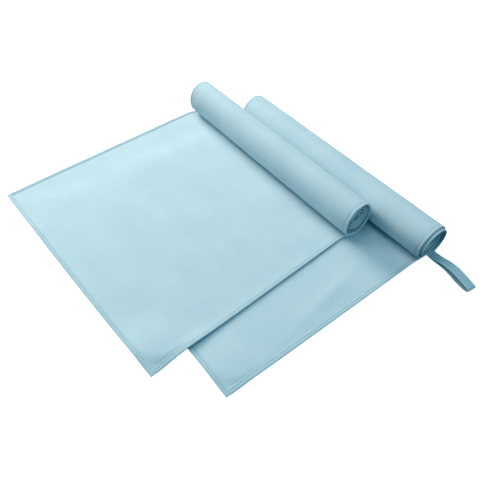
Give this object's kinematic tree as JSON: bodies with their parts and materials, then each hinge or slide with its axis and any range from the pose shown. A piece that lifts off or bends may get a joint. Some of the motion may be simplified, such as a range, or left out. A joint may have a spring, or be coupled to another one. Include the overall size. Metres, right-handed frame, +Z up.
{
  "type": "quick dry towel",
  "caption": "Pair of thin hemmed microfibre towels, laid flat and partly rolled up, the lower one with a folded tape hang loop.",
  "frame": {"origin": "middle of the pair's bounding box, at the level of the table it lies on", "axes": "+X from the free ends towards the rolls, +Y along the rolls away from the hang loop, +Z up"},
  "size_m": [0.47, 0.5756, 0.0596],
  "materials": {
    "microfibre_cloth": "matte pale blue suede microfibre with a short brushed nap",
    "sewn_hem": "folded and stitched edge of the same microfibre",
    "loop_tape": "flat woven tape in a slightly deeper blue",
    "sewing_thread": "matching polyester sewing thread"
  },
  "bodies": {
    "lower_towel": {"lower_free_end_hem": "sewn_hem", "lower_flat_panel": "microfibre_cloth", "lower_right_hem": "sewn_hem", "lower_left_hem": "sewn_hem"},
    "lower_roll": {"lower_outer_wrap": "microfibre_cloth", "lower_wrap_right_hem": "sewn_hem", "lower_wrap_left_hem": "sewn_hem", "lower_loop_tab": "loop_tape", "lower_loop_bar_tack": "sewing_thread"},
    "lower_coil": {"lower_inner_coil": "microfibre_cloth", "lower_core_hem": "sewn_hem", "lower_coil_right_hem": "sewn_hem", "lower_coil_left_hem": "sewn_hem"},
    "hang_loop": {"lower_hang_loop": "loop_tape"},
    "upper_towel": {"upper_flat_panel": "microfibre_cloth", "upper_right_hem": "sewn_hem", "upper_left_hem": "sewn_hem"},
    "upper_flap": {"upper_flap_end_hem": "sewn_hem", "upper_flap_panel": "microfibre_cloth", "upper_flap_right_hem": "sewn_hem", "upper_flap_left_hem": "sewn_hem"},
    "upper_roll": {"upper_outer_wrap": "microfibre_cloth", "upper_wrap_right_hem": "sewn_hem", "upper_wrap_left_hem": "sewn_hem"},
    "upper_coil": {"upper_inner_coil": "microfibre_cloth", "upper_core_hem": "sewn_hem", "upper_coil_right_hem": "sewn_hem", "upper_coil_left_hem": "sewn_hem"}
  },
  "joints": [
    {"name": "lower_roll_out", "type": "slide", "parent": "lower_towel", "child": "lower_roll", "axis": [1, 0, 0], "range_m": [0, 0.1]},
    {"name": "lower_coil_turn", "type": "hinge", "parent": "lower_roll", "child": "lower_coil", "pos_m": [0.20619, -0.01001, 0.0298], "axis": [0, 1, 0], "range_deg": [0, 212]},
    {"name": "hang_loop_lift", "type": "hinge", "parent": "lower_roll", "child": "hang_loop", "pos_m": [0.21439, -0.21551, 0.00235], "axis": [-0.9903, 0.1392, 0], "range_deg": [0, 65]},
    {"name": "upper_towel_lift", "type": "slide", "parent": "lower_towel", "child": "upper_towel", "axis": [0, 0, 1], "range_m": [0, 0.12]},
    {"name": "upper_roll_up", "type": "slide", "parent": "upper_towel", "child": "upper_roll", "axis": [-1, 0, 0], "range_m": [0, 0.1]},
    {"name": "upper_coil_turn", "type": "hinge", "parent": "upper_roll", "child": "upper_coil", "pos_m": [0.15109, 0.07899, 0.0323], "axis": [0, -1, 0], "range_deg": [0, 212]},
    {"name": "upper_flap_fold", "type": "hinge", "parent": "upper_towel", "child": "upper_flap", "pos_m": [-0.11814, 0.07124, 0.006], "axis": [-0.0602, 0.9982, 0], "range_deg": [0, 180]}
  ],
  "couplings": [
    {"joint": "lower_coil_turn", "follows": "lower_roll_out", "rad_per_m": 36.63},
    {"joint": "upper_coil_turn", "follows": "upper_roll_up", "rad_per_m": 36.63}
  ]
}
